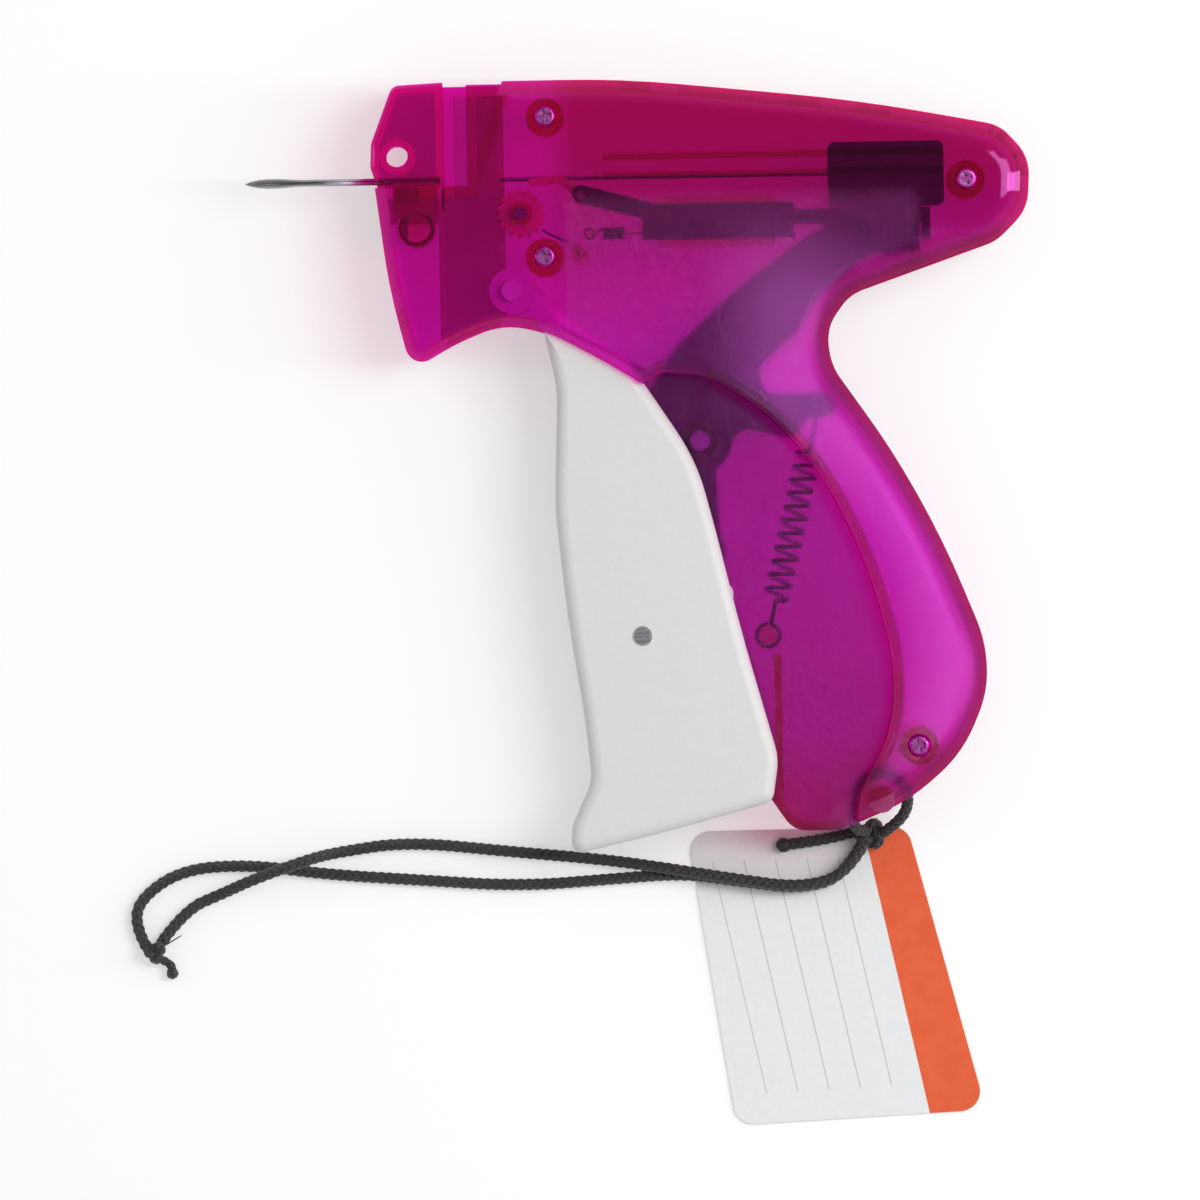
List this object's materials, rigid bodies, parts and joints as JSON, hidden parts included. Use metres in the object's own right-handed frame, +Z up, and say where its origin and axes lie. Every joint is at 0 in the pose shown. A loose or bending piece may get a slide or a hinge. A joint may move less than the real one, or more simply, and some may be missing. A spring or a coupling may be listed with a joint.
{
  "type": "garment tag attacher",
  "caption": "Hand-held tagging tool with hollow needle, trigger, lever-driven push rod and tag feed in a translucent two-part shell, with wrist strap and hang card.",
  "frame": {"origin": "on the table under the middle of the tool without its strap and card; the tool lies on its right side", "axes": "+X from the needle's point to the rear of the body, +Y from the foot of the grip to the top of the body, +Z up out of the left shell"},
  "size_m": [0.1827, 0.2097, 0.025],
  "materials": {
    "shell": "translucent gloss",
    "trigger_white": "satin",
    "black_plastic": "satin",
    "crimson_plastic": "satin",
    "steel": "brushed",
    "spring_steel": "polished",
    "cord": "braided",
    "card": "coated"
  },
  "bodies": {
    "housing": {"left_shell": "shell", "right_shell": "shell", "nose_cap": "shell", "needle": "steel", "needle_hub": "crimson_plastic", "knife_blade": "steel", "housing_screws": "steel", "lever_pivot_pin": "steel", "feed_wheel_axle": "steel", "detent_spring": "spring_steel", "return_spring": "spring_steel", "feed_spring": "spring_steel", "strap_ring": "cord", "strap_strand_a": "cord", "strap_strand_b": "cord", "strap_stub": "cord", "hitch_knot": "cord", "end_knot": "cord", "hang_card": "card"},
    "trigger": {"trigger": "trigger_white", "trigger_cross_pin": "steel"},
    "drive_link": {"drive_link": "black_plastic"},
    "lever": {"lever": "black_plastic", "lever_drive_pin": "steel", "link_pin": "steel"},
    "slide": {"slide": "black_plastic", "push_rod": "steel"},
    "feed_bar": {"feed_bar": "black_plastic", "feed_pawl_pin": "steel"},
    "feed_pawl": {"feed_pawl": "crimson_plastic"},
    "feed_wheel": {"feed_wheel": "crimson_plastic"},
    "needle_lock": {"needle_lock": "crimson_plastic"}
  },
  "joints": [
    {"name": "trigger_squeeze", "type": "hinge", "parent": "housing", "child": "trigger", "pos_m": [-0.0253, 0.03513, 0.0125], "axis": [0, 0, 1], "range_deg": [0, 13.7], "stiffness_Nm_per_rad": 4, "springref_deg": -6.88},
    {"name": "lever_swing", "type": "hinge", "parent": "housing", "child": "lever", "pos_m": [0.0117, 0.00464, 0.0125], "axis": [0, 0, 1], "range_deg": [0, 48], "deforming": ["return_spring"]},
    {"name": "link_swing", "type": "hinge", "parent": "trigger", "child": "drive_link", "pos_m": [-0.0006, -0.03417, 0.0125], "axis": [0, 0, 1], "range_deg": [-13.3, 0]},
    {"name": "slide_travel", "type": "slide", "parent": "housing", "child": "slide", "axis": [-1, 0, 0], "range_m": [0, 0.0435]},
    {"name": "feed_bar_travel", "type": "slide", "parent": "housing", "child": "feed_bar", "axis": [-1, 0, 0], "range_m": [0, 0.003], "deforming": ["feed_spring"]},
    {"name": "pawl_lift", "type": "hinge", "parent": "feed_bar", "child": "feed_pawl", "pos_m": [-0.0112, 0.05423, 0.0125], "axis": [0, 0, -1], "range_deg": [0, 12], "stiffness_Nm_per_rad": 0.002, "springref_deg": -11.46},
    {"name": "feed_wheel_turn", "type": "hinge", "parent": "housing", "child": "feed_wheel", "pos_m": [-0.0232, 0.05063, 0.0125], "axis": [0, 0, 1], "continuous": true},
    {"name": "needle_lock_turn", "type": "hinge", "parent": "housing", "child": "needle_lock", "pos_m": [-0.0443, 0.04834, 0.0125], "axis": [0, 0, -1], "range_deg": [0, 90]}
  ],
  "couplings": [
    {"joint": "lever_swing", "follows": "trigger_squeeze", "ratio": 3.5036},
    {"joint": "link_swing", "follows": "trigger_squeeze", "ratio": -0.9708},
    {"joint": "slide_travel", "follows": "trigger_squeeze", "m_per_rad": 0.18193},
    {"joint": "feed_bar_travel", "follows": "trigger_squeeze", "m_per_rad": 0.012547}
  ]
}
